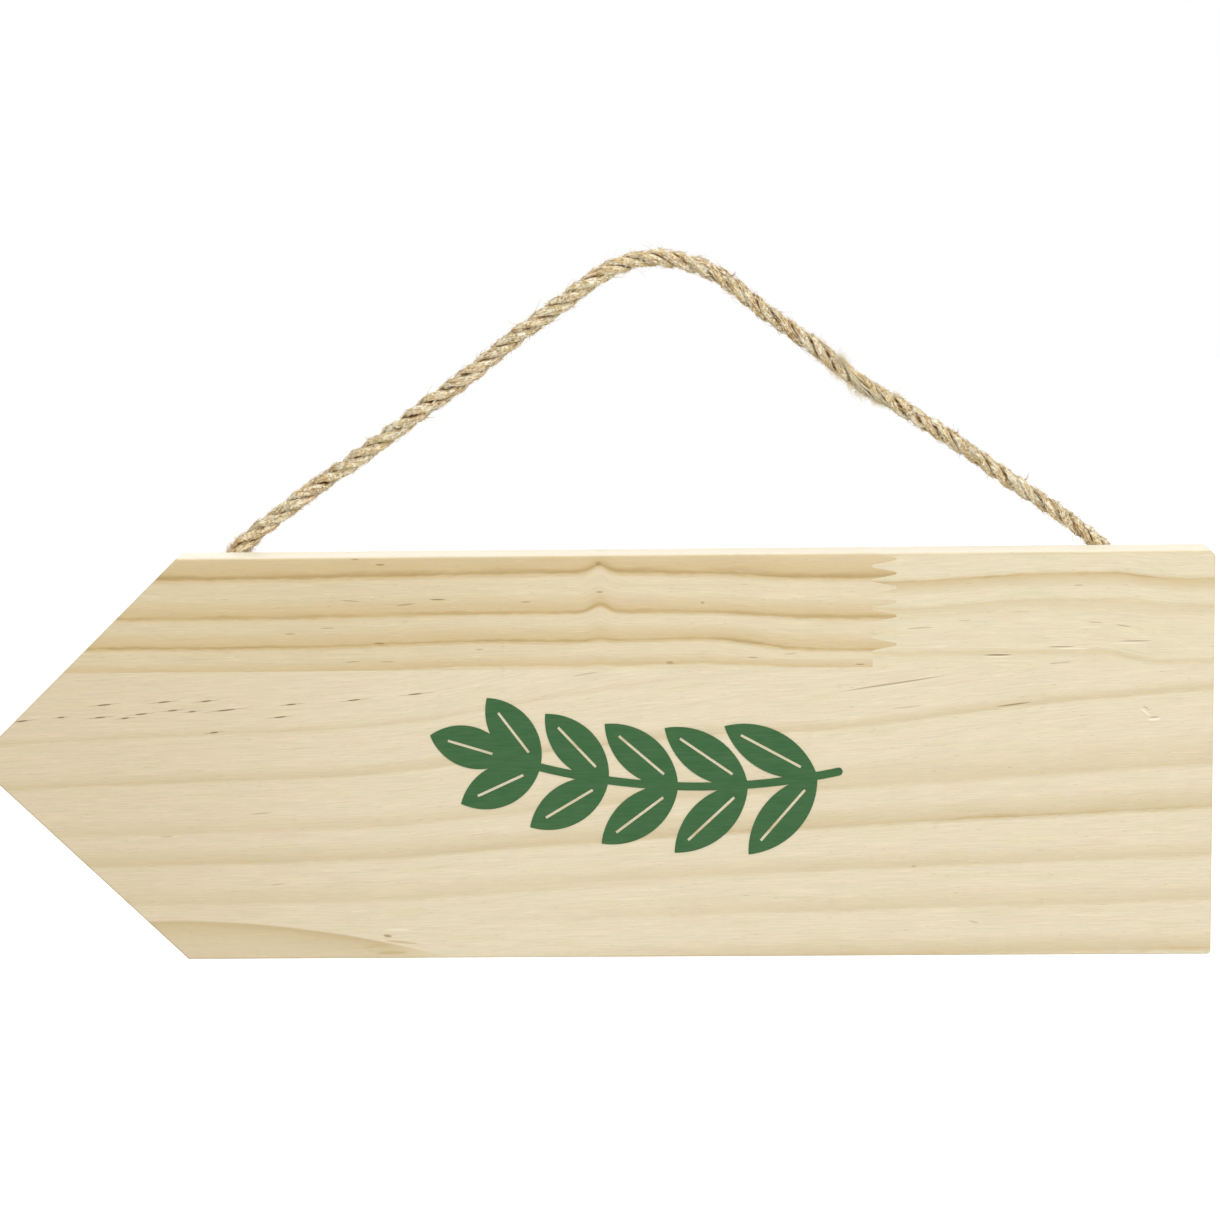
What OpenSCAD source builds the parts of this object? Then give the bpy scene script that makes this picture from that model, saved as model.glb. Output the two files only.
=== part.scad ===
// Hanging arrow sign: a glued pine board with a point on the left, a painted sprig and a rope loop.
// Millimetres, +Z up, +X towards the square end, front face towards -Y.
// The origin is where a nail carries the rope: under its highest point, behind the board.

/* [Board] */
// Length from the point to the square end
board_len = 400; // [390:1:480]
// Height of the board
board_h = 132; // [115:1:150]
// Thickness of the board
board_t = 15; // [12:0.5:22]
// Length of the pointed end
point_len = 68; // [50:1:75]
// Easing of all front and back edges
edge_r = 1.1; // [0.5:0.1:2]
// Rounding of the blunted point
point_r = 2.4; // [1:0.1:5]
// Rounding of the two shoulders and of the lower square corner
corner_r = 1.6; // [0.8:0.1:5]
// Rounding of the upper square corner
tail_corner_r = 3.4; // [1:0.1:7]
// Angle at which a sanded round meets a flat
meet_angle = 18; // [10:1:25]

/* [Staves and their finger joint] */
// Height of the upper staves
upper_stave_h = 37; // [34:0.5:46]
// Distance from the point to the roots of the finger joint
joint_from_tip = 291; // [270:1:320]
// Length of a finger
finger_len = 7.6; // [4:0.1:12]
// Distance from finger to finger
finger_pitch = 4.6; // [3:0.1:7]
// Width of a finger's blunt tip
finger_tip_w = 0.8; // [0.4:0.1:1.2]
// Height of the straight shoulder under the fingers
joint_shoulder_h = 5.4; // [3:0.1:8]

/* [Painted sprig] */
// Thickness of the paint
paint_t = 0.2; // [0.1:0.05:0.4]
// Distance from the point to the start of the stem, on its right
sprig_from_tip = 280; // [265:1:290]
// Distance from the top edge to the start of the stem
sprig_drop = 71; // [68:0.5:76]
// Radius of the stem's arc
stem_bend_r = 210; // [180:5:400]
// Width of the stem
stem_w = 2.6; // [1.5:0.1:4]
// Number of leaf pairs
leaf_pairs = 5; // [2:1:5]
// Distance along the stem from pair to pair
leaf_pitch = 22.5; // [19:0.5:24]
// Bare stem before the first pair
stem_foot = 7; // [3:0.5:12]
// Distance from the last pair to the leaf at the stem's end
end_leaf_gap = 10; // [6:0.5:12]
// How far the stem runs into that last leaf
stem_lap = 3; // [1:0.5:3.5]
// Fall of the stem where it starts
stem_tilt = 12; // [8:1:16]
// Length of the first leaves
leaf_len = 34; // [22:0.5:36]
// Width of the first leaves
leaf_w = 13.5; // [8:0.5:14]
// How much shorter each next pair is
leaf_taper = 1.4; // [0:0.1:2]
// Angle between a leaf and the stem
leaf_angle = 39; // [28:1:42]
// Width of the bare line left along a leaf's middle
vein_w = 0.9; // [0.5:0.1:1.5]
// Distance from a leaf's foot and from its tip to that line
vein_margin = 6; // [4:0.5:8]

/* [Rope] */
// Diameter of the rope
rope_d = 5.2; // [4:0.1:7]
// Distance from the point to the hanging place
hang_from_tip = 222; // [205:1:230]
// Distance from the hanging place down to the board's top edge
hang_drop = 91; // [86:0.5:95]

/* [Staples] */
// Diameter of the wire
wire_d = 1.2; // [0.9:0.1:1.6]
// Free space between the rope and each leg
staple_side_gap = 1; // [0.4:0.1:2]
// Bend radius of the wire's middle line
staple_bend_r = 1.2; // [0.9:0.1:1.6]
// Depth of the legs in the wood
staple_bite = 8; // [5:0.5:10]
// Distance from the rope's end to the lower staple
staple_end_gap = 5; // [3:0.5:7]
// Distance between the two staples of one end
staple_pitch = 8.5; // [5:0.5:9]
// Angle of the chisel point
chisel_angle = 35; // [20:1:50]

/* [Hidden] */

$fn = 64;
over = 1;
mitre_run = 5;

rope_r = rope_d / 2;
wire_r = wire_d / 2;

tip_x = -hang_from_tip;
end_x = tip_x + board_len;
neck_x = tip_x + point_len;
top_z = -hang_drop;
bottom_z = top_z - board_h;
back_y = -rope_r;
front_y = back_y - board_t;
glue_z = top_z - upper_stave_h;
joint_x = tip_x + joint_from_tip;

// The board's corners, counterclockwise as seen from the front, and their radii
corners = [
    [tip_x, top_z - board_h / 2],
    [neck_x, bottom_z],
    [end_x, bottom_z],
    [end_x, top_z],
    [neck_x, top_z]
];
corner_radii = [point_r, corner_r, corner_r, tail_corner_r, corner_r];
last_corner = len(corners) - 1;

// The rope's middle line from its left end to its right end: x, and height over the hanging place
rope_route = [
    [-140.5, -122], [-140.5, -114], [-140.5, -105], [-138.5, -97], [-132.5, -89.5],
    [-121.5, -81], [-110, -72.5], [-98, -64.5], [-86, -56], [-74, -47], [-62, -38.5],
    [-50, -29], [-38, -20], [-28, -13], [-20, -7], [-12.5, -2.8], [-5, -0.4], [0, 0],
    [5.5, -0.4], [13, -2.4], [20, -5.4], [26.5, -10.2], [34.5, -16.8], [44, -23.6],
    [54, -31], [63.5, -38.8], [73.5, -45.4], [83.5, -51.6], [94, -58.4], [105, -66.2],
    [116, -74], [127, -81.4], [136.5, -88.4], [144, -95], [149, -102],
    [151, -109.5], [151, -117], [151, -124]
];
rope_sides = 12;
route_last = len(rope_route) - 1;

function unit(v) = v / norm(v);
function next_corner(i) = i == last_corner ? 0 : i + 1;
function corner_before(i) = corners[i == 0 ? last_corner : i - 1];
function corner_after(i) = corners[next_corner(i)];
function to_before(i) = unit(corner_before(i) - corners[i]);
function to_after(i) = unit(corner_after(i) - corners[i]);
function half_angle(i) = acos(to_before(i) * to_after(i)) / 2;
function tangent_len(i) = corner_radii[i] / tan(half_angle(i));
function arc_start(i) = corners[i] + to_before(i) * tangent_len(i);
function arc_end(i) = corners[i] + to_after(i) * tangent_len(i);
function inward(i) = unit(to_before(i) + to_after(i));
function arc_centre(i) = corners[i] + inward(i) * corner_radii[i] / sin(half_angle(i));

// Stands a flat drawing in X and Y up in X and Z, from the given Y backwards
module upright(from_y, depth) {
    translate([0, from_y + depth, 0]) rotate([90, 0, 0]) linear_extrude(depth) children();
}

// The part of a corner that lies between its two tangent points
module corner_wedge(i) {
    polygon([arc_start(i), corners[i] - inward(i) * over, arc_end(i), arc_centre(i)]);
}

module outline() {
    difference() {
        polygon(corners);
        for (i = [0 : last_corner]) {
            difference() {
                corner_wedge(i);
                translate(arc_centre(i)) circle(corner_radii[i] / cos(meet_angle));
            }
        }
    }
}

// What easing takes off a square edge; the origin is the round's centre
module round_waste() {
    difference() {
        square(edge_r + over);
        circle(edge_r / cos(meet_angle));
    }
}

// Waste along all sides at the back face; each runs past its corners, so that they mitre there
module back_edge_waste() {
    for (i = [0 : last_corner]) {
        side = corners[next_corner(i)] - corners[i];
        translate([corners[i][0], back_y - edge_r, corners[i][1]])
            rotate([0, 90 - atan2(side[1], side[0]), 0])
            translate([-edge_r, 0, -mitre_run])
            linear_extrude(norm(side) + 2 * mitre_run)
            round_waste();
    }
}

// The whole board before it is split into its staves
module board() {
    difference() {
        upright(front_y, board_t) outline();
        back_edge_waste();
        translate([0, front_y + back_y, 0]) mirror([0, 1, 0]) back_edge_waste();
        at_staples() staple_legs(back_y - staple_bite, back_y + over);
    }
}

finger_count = ceil((upper_stave_h - joint_shoulder_h) / finger_pitch);
flank_h = (finger_pitch - 2 * finger_tip_w) / 2;

// One finger that points right, from its lower root to its upper root
function finger(z) = [
    [joint_x + finger_len, z + flank_h],
    [joint_x + finger_len, z + flank_h + finger_tip_w],
    [joint_x, z + 2 * flank_h + finger_tip_w],
    [joint_x, z + finger_pitch]
];

// The finger joint's line, from the glue line up past the top edge
joint_line = concat(
    [[joint_x, glue_z - over], [joint_x, glue_z + joint_shoulder_h]],
    [for (k = [0 : finger_count - 1]) for (p = finger(glue_z + joint_shoulder_h + k * finger_pitch)) p]
);
joint_top = joint_line[len(joint_line) - 1][1];

// A stave: the part of the board inside a flat region
module stave(region) {
    intersection() {
        board();
        upright(front_y - over, board_t + 2 * over) polygon(region);
    }
}

// The upper staves stop at the glue line
module upper_stave(region) {
    intersection() {
        stave(region);
        translate([tip_x - over, front_y - over, glue_z])
            cube([board_len + 2 * over, board_t + 2 * over, upper_stave_h + over]);
    }
}

module stave_upper_left() {
    color([0.86, 0.78, 0.62])
        upper_stave(concat(joint_line, [[tip_x - over, joint_top], [tip_x - over, glue_z - over]]));
}

module stave_upper_right() {
    color([0.92, 0.87, 0.75])
        upper_stave(concat(joint_line, [[end_x + over, joint_top], [end_x + over, glue_z - over]]));
}

module stave_lower() {
    color([0.9, 0.84, 0.71])
        stave([
            [tip_x - over, bottom_z - over],
            [end_x + over, bottom_z - over],
            [end_x + over, glue_z],
            [tip_x - over, glue_z]
        ]);
}

// A leaf that starts at the origin and points along X
module leaf(length, width) {
    bow_r = (pow(length, 2) + pow(width, 2)) / (4 * width);
    difference() {
        intersection() {
            translate([length / 2, bow_r - width / 2]) circle(bow_r);
            translate([length / 2, width / 2 - bow_r]) circle(bow_r);
        }
        translate([vein_margin, -vein_w / 2]) square([length - 2 * vein_margin, vein_w]);
    }
}

// Places its children on the stem's arc, at a distance from the stem's start
module on_stem(distance) {
    translate([0, stem_bend_r])
        rotate(distance / stem_bend_r * 180 / PI)
        translate([0, -stem_bend_r])
        children();
}

module stem(length) {
    turn = length / stem_bend_r * 180 / PI;
    reach = 2 * stem_bend_r;
    intersection() {
        translate([0, stem_bend_r]) difference() {
            circle(stem_bend_r + stem_w / 2, $fn = 360);
            circle(stem_bend_r - stem_w / 2, $fn = 360);
        }
        translate([0, stem_bend_r]) polygon([[0, 0], [0, -reach], [reach * sin(turn), -reach * cos(turn)]]);
    }
    circle(stem_w / 2);
}

module sprig() {
    last_pair = stem_foot + (leaf_pairs - 1) * leaf_pitch;
    stem(last_pair + end_leaf_gap + stem_lap);
    for (k = [0 : leaf_pairs - 1]) {
        on_stem(stem_foot + k * leaf_pitch)
            for (side = [-1, 1]) rotate(side * leaf_angle) leaf(leaf_len - k * leaf_taper, leaf_w);
    }
    on_stem(last_pair + end_leaf_gap) leaf(leaf_len - leaf_pairs * leaf_taper, leaf_w);
}

module painted_sprig() {
    color([0.28, 0.41, 0.26])
        upright(front_y - paint_t, paint_t)
        translate([tip_x + sprig_from_tip, top_z - sprig_drop])
        mirror([1, 0])
        rotate(-stem_tilt)
        sprig();
}

// The rope, one ring of points round each point of its route
function route_point(i) = [rope_route[i][0], 0, rope_route[i][1] + rope_r];
function heading(i) = unit(route_point(min(i + 1, route_last)) - route_point(max(i - 1, 0)));
function sideways(i) = [-heading(i)[2], 0, heading(i)[0]];
function ring_point(i, angle) = route_point(i)
    + rope_corner_r * (cos(angle) * sideways(i) + sin(angle) * [0, 1, 0]);
rope_corner_r = rope_r / cos(180 / rope_sides);
rope_points = [
    for (i = [0 : route_last])
        for (k = [0 : rope_sides - 1])
            ring_point(i, (k + 0.5) * 360 / rope_sides)
];
rope_skin = [
    for (i = [0 : route_last - 1])
        for (k = [0 : rope_sides - 1])
            let (a = i * rope_sides + k, b = i * rope_sides + (k + 1) % rope_sides)
                [a, b, b + rope_sides, a + rope_sides]
];
first_end = [[for (k = [rope_sides - 1 : -1 : 0]) k]];
last_end = [[for (k = [0 : rope_sides - 1]) route_last * rope_sides + k]];

module rope() {
    color([0.79, 0.72, 0.58]) polyhedron(rope_points, concat(first_end, rope_skin, last_end));
}

// Two staples hold each end of the rope to the back
leg_x = rope_r + staple_side_gap + wire_r;
crown_y = rope_r + wire_r;

module at_staples() {
    for (end = [route_point(0), route_point(route_last)])
        for (k = [0, 1])
            translate([end[0], 0, end[2] + staple_end_gap + k * staple_pitch]) children();
}

// Both legs of a staple, from one Y to another
module staple_legs(from_y, to_y) {
    for (x = [-leg_x, leg_x])
        translate([x, from_y, 0]) rotate([-90, 0, 0]) cylinder(r = wire_r, h = to_y - from_y);
}

module staple_bend() {
    translate([leg_x - staple_bend_r, crown_y - staple_bend_r, 0])
        rotate_extrude(angle = 90)
        translate([staple_bend_r, 0])
        circle(wire_r);
}

// What the chisel point takes off the inner side of a leg's end
module chisel_waste() {
    waste = 2 * wire_d;
    translate([leg_x + wire_r, back_y - staple_bite, 0])
        rotate([0, 0, -chisel_angle])
        translate([-waste, -waste, -wire_d])
        cube([2 * waste, waste, 2 * wire_d]);
}

module staple() {
    difference() {
        union() {
            staple_legs(back_y - staple_bite, crown_y - staple_bend_r);
            staple_bend();
            mirror([1, 0, 0]) staple_bend();
            translate([staple_bend_r - leg_x, crown_y, 0])
                rotate([0, 90, 0])
                cylinder(r = wire_r, h = 2 * (leg_x - staple_bend_r));
        }
        chisel_waste();
        mirror([1, 0, 0]) chisel_waste();
    }
}

module rope_staples() {
    color([0.72, 0.72, 0.74]) at_staples() staple();
}

stave_upper_left();
stave_upper_right();
stave_lower();
painted_sprig();
rope();
rope_staples();
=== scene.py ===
# %% [markdown]
# # A hanging wooden sign
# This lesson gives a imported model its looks. The model holds six parts of an arrow-shaped sign: three
# staves of pine that are glued into one board, a painted sprig of leaves, a rope and its wire staples.
# The staves, the sprig and the staples have their true shape already, so they only need materials.
# The rope is a plain tube in the model, so it is replaced by three twisted strands with loose fibres.

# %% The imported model
import math
import random

import bpy
from mathutils import Matrix, Vector, noise


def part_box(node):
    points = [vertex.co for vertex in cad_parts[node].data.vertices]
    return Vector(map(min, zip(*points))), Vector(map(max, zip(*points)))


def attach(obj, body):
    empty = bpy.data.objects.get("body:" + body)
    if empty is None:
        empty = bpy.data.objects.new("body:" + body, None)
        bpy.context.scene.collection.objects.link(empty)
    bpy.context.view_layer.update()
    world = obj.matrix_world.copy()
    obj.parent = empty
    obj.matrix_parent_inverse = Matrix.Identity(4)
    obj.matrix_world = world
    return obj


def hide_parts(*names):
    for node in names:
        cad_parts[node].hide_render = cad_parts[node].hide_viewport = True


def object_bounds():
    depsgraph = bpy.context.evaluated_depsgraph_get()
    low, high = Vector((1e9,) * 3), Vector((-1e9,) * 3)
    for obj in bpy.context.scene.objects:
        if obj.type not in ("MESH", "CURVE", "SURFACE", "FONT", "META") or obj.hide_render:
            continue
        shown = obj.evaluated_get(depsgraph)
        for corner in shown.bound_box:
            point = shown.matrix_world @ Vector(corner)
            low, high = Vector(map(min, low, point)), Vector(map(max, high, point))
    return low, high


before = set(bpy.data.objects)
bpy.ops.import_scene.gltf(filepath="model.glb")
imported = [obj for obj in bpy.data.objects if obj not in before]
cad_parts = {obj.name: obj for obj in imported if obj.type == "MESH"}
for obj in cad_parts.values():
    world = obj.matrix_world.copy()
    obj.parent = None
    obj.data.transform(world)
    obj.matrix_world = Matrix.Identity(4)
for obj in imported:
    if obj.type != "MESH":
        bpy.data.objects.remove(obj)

cad_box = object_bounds()
print("nodes:", ", ".join(sorted(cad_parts)))

# %% [markdown]
# ## The camera
# The photograph was taken with a long lens from a little above the board, a bit right of its middle.
# Such a place can be found by eye, by moving the camera until the corners meet the picture. Here it was
# fitted to the corners and edges of the board, which gives the place, three angles and the lens.
# The angles are turned in a fixed order: first the lean, then the dip, then the turn to the side.

# %% The camera
MM = 0.001
EYE = (18.6, -1122.9, 50.7)
TURN_LEFT = 1.74
DIP = 8.21
LEAN = -0.72
LENS = 102.9
FILM_WIDTH = 36

camera_data = bpy.data.cameras.new("camera")
camera_data.lens = LENS
camera_data.sensor_width = FILM_WIDTH
camera = bpy.data.objects.new("camera", camera_data)
bpy.context.scene.collection.objects.link(camera)
turn = Matrix.Rotation(math.radians(TURN_LEFT), 4, "Z")
dip = Matrix.Rotation(math.radians(90 - DIP), 4, "X")
lean = Matrix.Rotation(math.radians(LEAN), 4, "Z")
camera.matrix_world = Matrix.Translation(Vector(EYE) * MM) @ turn @ dip @ lean
bpy.context.scene.camera = camera
print("camera", EYE, "mm, lens", LENS, "mm")

# %% [markdown]
# ## The rope's route
# A rope hangs in one plane behind the board. Its route is the same list of points that the model's tube
# follows: up from the left staples, over the hanging place, and down to the right staples. It could be
# drawn as a curve with a round profile, but a twisted rope needs places at equal steps along its length,
# so a smooth line is laid through the points and walked at an even pace.

# %% The rope's route
ROPE_D = 5.2
STEP = 0.5
SPLINE_PARTS = 24
ROPE_ROUTE = [
    (-140.5, -122), (-140.5, -114), (-140.5, -105), (-138.5, -97), (-132.5, -89.5),
    (-121.5, -81), (-110, -72.5), (-98, -64.5), (-86, -56), (-74, -47), (-62, -38.5),
    (-50, -29), (-38, -20), (-28, -13), (-20, -7), (-12.5, -2.8), (-5, -0.4), (0, 0),
    (5.5, -0.4), (13, -2.4), (20, -5.4), (26.5, -10.2), (34.5, -16.8), (44, -23.6),
    (54, -31), (63.5, -38.8), (73.5, -45.4), (83.5, -51.6), (94, -58.4), (105, -66.2),
    (116, -74), (127, -81.4), (136.5, -88.4), (144, -95), (149, -102),
    (151, -109.5), (151, -117), (151, -124),
]


def smooth_line(points):
    """Many close points on a smooth line through the given ones."""
    padded = [points[0]] + points + [points[-1]]
    line = []
    for before, start, end, after in zip(padded, padded[1:], padded[2:], padded[3:]):
        for part in range(SPLINE_PARTS):
            t = part / SPLINE_PARTS
            bend = 2 * before - 5 * start + 4 * end - after
            swing = 3 * start - before - 3 * end + after
            line.append((2 * start + t * (end - before) + t * t * bend + t ** 3 * swing) / 2)
    return line + [points[-1]]


def even_walk(line, step):
    """Points on a line at equal steps, its two ends among them."""
    reached = [0.0]
    for a, b in zip(line, line[1:]):
        reached.append(reached[-1] + (b - a).length)
    count = round(reached[-1] / step)
    walk = []
    place = 0
    for k in range(count + 1):
        distance = reached[-1] * k / count
        while place < len(line) - 2 and reached[place + 1] < distance:
            place += 1
        share = (distance - reached[place]) / (reached[place + 1] - reached[place])
        walk.append(line[place].lerp(line[place + 1], share))
    return walk, reached[-1]


route = [Vector((x, 0, height + ROPE_D / 2)) for x, height in ROPE_ROUTE]
rope_line, rope_length = even_walk(smooth_line(route), STEP)
rope_step = rope_length / (len(rope_line) - 1)


def rope_frame(index):
    """The rope's heading at a point of its line, and the two directions square to it."""
    last = len(rope_line) - 1
    heading = (rope_line[min(index + 1, last)] - rope_line[max(index - 1, 0)]).normalized()
    across = Vector((-heading.z, 0, heading.x))
    return heading, across, heading.cross(across)


print(f"rope: {rope_length:.1f} mm long, {len(rope_line)} points")

# %% [markdown]
# ## Three twisted strands
# The rope is jute, laid from three strands. Each strand is a soft round bundle that winds round the
# rope's middle like a screw thread, once in 20 to 24 mm, tighter towards the right. An Array and a Screw
# modifier could wind it round a straight axis, and a Curve modifier could bend that, but the strands of
# a real rope swell and thin out along their way. So each strand is a tube whose rings are placed one by
# one. Its radius wanders with slow lumps, with ridges that turn the other way, which are its bundles of
# fibres, and with short rough knots. The whole rope is a bit thicker left of its peak than right of it.
# A UV map turns with the bundles and carries the material's grain along each strand. An attribute says
# how far each point is from the rope's middle, so that shade can be painted into the grooves between the
# strands.

# %% Three twisted strands
STRANDS = 3
LAY = 24.0
TIGHTENING = 1.9
STRAND_R = 1.21
STRAND_WIDE = 1.08
STRAND_SIDES = 30
STRAND_OFF = 1.42
LUMP = 0.22
LUMP_LENGTH = 3.2
BUNDLE = 0.15
BUNDLES_ROUND = 2.4
BUNDLE_LENGTH = 4
ROUGH = 0.08
ROUGH_SPOTS = 4.5
ROUGH_LENGTH = 1.1
SWELL = 0.08
SWELL_LENGTH = 13
THICK_LEFT = 1.03
THIN_RIGHT = 0.94
PEAK_AT = 0.5
PEAK_BLEND = 0.1
WANDER = 0.35
WANDER_LENGTH = 8
FIBRE_TURNS = 0.05
STRAND_APART = 40
SMOOTH_ANGLE = 60


def new_mesh_object(name, points, faces):
    """An object in the scene from points in millimetres and faces."""
    mesh = bpy.data.meshes.new(name)
    mesh.from_pydata([tuple(p * MM) for p in points], [], faces)
    mesh.update()
    made = bpy.data.objects.new(name, mesh)
    bpy.context.scene.collection.objects.link(made)
    return made


def rope_swell(index):
    """How thick the rope is at a point of its line, where 1 is its usual thickness."""
    travel = index * rope_step
    past_peak = min(max((travel / rope_length - PEAK_AT) / PEAK_BLEND, 0), 1)
    trend = THICK_LEFT + (THIN_RIGHT - THICK_LEFT) * past_peak
    return trend + SWELL * noise.noise(Vector((0, 0, travel / SWELL_LENGTH)))


def strand_centre(strand, index):
    """The middle of a strand where it passes a point of the rope's line, and its way out from there."""
    _, across, out = rope_frame(index)
    travel = index * rope_step
    turns = travel / LAY + TIGHTENING * (travel / rope_length) ** 2
    wander = WANDER * noise.noise(Vector((0, STRAND_APART * strand, travel / WANDER_LENGTH)))
    angle = 2 * math.pi * (turns + strand / STRANDS) + wander
    spoke = math.cos(angle) * across + math.sin(angle) * out
    return rope_line[index] + STRAND_OFF * rope_swell(index) * spoke, spoke


def round_noise(angle, spots, length):
    """Noise from -1 to 1 that closes round a strand; more spots make it finer."""
    return noise.noise(Vector((spots * math.cos(angle), spots * math.sin(angle), length)))


def strand_radius(strand, index, angle):
    """A strand's radius at one of its sides, with its lumps, its bundles of fibres and its knots."""
    travel = index * rope_step
    lump = round_noise(angle, 1, travel / LUMP_LENGTH + STRAND_APART * strand)
    turned = angle + 2 * math.pi * FIBRE_TURNS * travel
    bundle = round_noise(turned, BUNDLES_ROUND, travel / BUNDLE_LENGTH - STRAND_APART * strand)
    rough = round_noise(turned, ROUGH_SPOTS, travel / ROUGH_LENGTH + STRAND_APART * strand)
    return STRAND_R * rope_swell(index) * (1 + LUMP * lump + BUNDLE * bundle + ROUGH * rough)


def strand_axes(strand, index):
    """A strand's middle and its outward and sideways directions at a point of the rope."""
    centre, spoke = strand_centre(strand, index)
    last = len(rope_line) - 1
    after, _ = strand_centre(strand, min(index + 1, last))
    before, _ = strand_centre(strand, max(index - 1, 0))
    forward = (after - before).normalized()
    side = forward.cross(spoke).normalized()
    return centre, side.cross(forward), side


strand_paths = []
for strand in range(STRANDS):
    strand_paths.append([strand_axes(strand, index) for index in range(len(rope_line))])


def strand_spot(strand, index, angle, lift=1.0):
    """A point on a strand's surface, which is a bit wider sideways than outwards."""
    centre, outward, side = strand_paths[strand][index]
    radius = strand_radius(strand, index, angle) * lift
    return centre + radius * (math.cos(angle) * outward + STRAND_WIDE * math.sin(angle) * side)


def strand_ring(strand, index):
    """One ring of points round a strand."""
    return [strand_spot(strand, index, 2 * math.pi * k / STRAND_SIDES) for k in range(STRAND_SIDES)]


def tube(rings):
    """Faces that join rings of points into a tube, with a flat cap on each end."""
    sides = len(rings[0])
    points = [p for ring in rings for p in ring]
    faces = []
    for r in range(len(rings) - 1):
        for k in range(sides):
            a = r * sides + k
            b = r * sides + (k + 1) % sides
            faces.append((a, b, b + sides, a + sides))
    faces.append(tuple(reversed(range(sides))))
    faces.append(tuple(range(len(points) - sides, len(points))))
    return points, faces


def add_fibre_map(mesh, sides, shift):
    """A UV map on a tube: U goes round with the fibres, V along in millimetres."""
    layer = mesh.uv_layers.new(name="fibres")
    for face in mesh.polygons:
        columns = [mesh.loops[loop].vertex_index % sides for loop in face.loop_indices]
        seam = max(columns) - min(columns) > 1 and len(columns) == 4
        for loop, column in zip(face.loop_indices, columns):
            row = mesh.loops[loop].vertex_index // sides
            along = row * rope_step
            turns = (column + (sides if seam and column == 0 else 0)) / sides
            layer.data[loop].uv = (turns + shift + FIBRE_TURNS * along, along * MM)


def add_number(mesh, name, values):
    """An attribute with one number for each point."""
    attribute = mesh.attributes.new(name, "FLOAT", "POINT")
    attribute.data.foreach_set("value", values)


strand_objects = []
for strand in range(STRANDS):
    rings = [strand_ring(strand, index) for index in range(len(rope_line))]
    points, faces = tube(rings)
    piece = new_mesh_object(f"strand_{strand}", points, faces)
    add_fibre_map(piece.data, STRAND_SIDES, strand)
    off_middle = [(p - middle).length for ring, middle in zip(rings, rope_line) for p in ring]
    add_number(piece.data, "off_middle", off_middle)
    strand_objects.append(piece)

bpy.ops.object.select_all(action="DESELECT")
for piece in strand_objects:
    piece.select_set(True)
bpy.context.view_layer.objects.active = strand_objects[0]
bpy.ops.object.join()
rope_strands = bpy.context.view_layer.objects.active
rope_strands.name = "rope_strands"
bpy.ops.object.shade_smooth_by_angle(angle=math.radians(SMOOTH_ANGLE))
print("rope strands:", len(rope_strands.data.polygons), "faces")

# %% [markdown]
# ## Fibres that lie on the strands
# Jute is coarse: each strand is wrapped in fibres of many colours, some pale and shining, some brown.
# Painted streaks alone look flat where light grazes them, so thousands of real fibres are laid on the
# strands. A particle system could grow hair, but it isn't part of a mesh until it is converted. Here
# each fibre is a thin three-sided tube along a path of a few points that follows a strand's surface.
# Others lie straight along the rope in flat bundles, which bridge the grooves here and there, so that
# a groove shows as a row of short dark slots. A seeded random source places all of them the same way
# each time, and a number for each picks its tone.

# %% Fibres that lie on the strands
FIBRE_R = 0.035
FIBRE_POINTS = 6
FIBRE_SIDES = 3
FIBRE_TAPER = 0.7
COAT_COUNT = 4400
COAT_SEED = 3
COAT_LENGTHS = (2.5, 6)
COAT_WIDTHS = (1, 4)
COAT_LIFT = 0.35
COAT_AROUND = 0.9
PATCH = 2.4
BRIDGES = 150
BRIDGE_FIBRES = 8
BRIDGE_LENGTHS = (3, 7)
BRIDGE_LEAN = (-0.12, 0.06)
BRIDGE_AROUND = 0.16
BRIDGE_OUT = 2.15
BRIDGE_SINK = 0.5


class FibreHeap:
    """Collects fibres and turns them into one object."""

    def __init__(self, seed):
        self.dice = random.Random(seed)
        self.points = []
        self.faces = []
        self.tones = []

    def spread(self, low, high):
        """A random number from low to high."""
        return self.dice.uniform(low, high)

    def wobble(self, size):
        """A small random step in space."""
        return Vector([self.spread(-size, size) for _ in range(3)])

    def add_path(self, path, radius, tone):
        """One fibre along a path, thinner towards its far end."""
        rings = []
        for k, place in enumerate(path):
            way = (path[min(k + 1, len(path) - 1)] - path[max(k - 1, 0)]).normalized()
            side = way.orthogonal().normalized()
            up = way.cross(side)
            width = radius * (1 - FIBRE_TAPER * k / (len(path) - 1))
            turns = [2 * math.pi * s / FIBRE_SIDES for s in range(FIBRE_SIDES)]
            rings.append([place + width * (math.cos(t) * side + math.sin(t) * up) for t in turns])
        points, faces = tube(rings)
        first = len(self.points)
        self.points += points
        self.faces += [tuple(first + index for index in face) for face in faces]
        self.tones += [tone] * len(points)

    def add_bent(self, start, first_way, last_way, length, radius, tone, points=FIBRE_POINTS):
        """One fibre that sets off one way and bends to another."""
        path = [start]
        for k in range(points - 1):
            way = first_way.lerp(last_way, k / (points - 2)).normalized()
            path.append(path[-1] + way * length / (points - 1))
        self.add_path(path, radius, tone)

    def make(self, name):
        """One object of all the fibres, with their tones as an attribute."""
        made = new_mesh_object(name, self.points, self.faces)
        add_number(made.data, "tone", self.tones)
        made.data.shade_smooth()
        return made


def patchy_tone(heap, place):
    """A tone from 0 to 1 that neighbouring fibres mostly share, so that pale and dark patches form."""
    shared = 0.5 + 1.5 * noise.noise(place / PATCH)
    return 0.4 * heap.dice.random() + 0.6 * min(max(shared, 0), 1)


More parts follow.
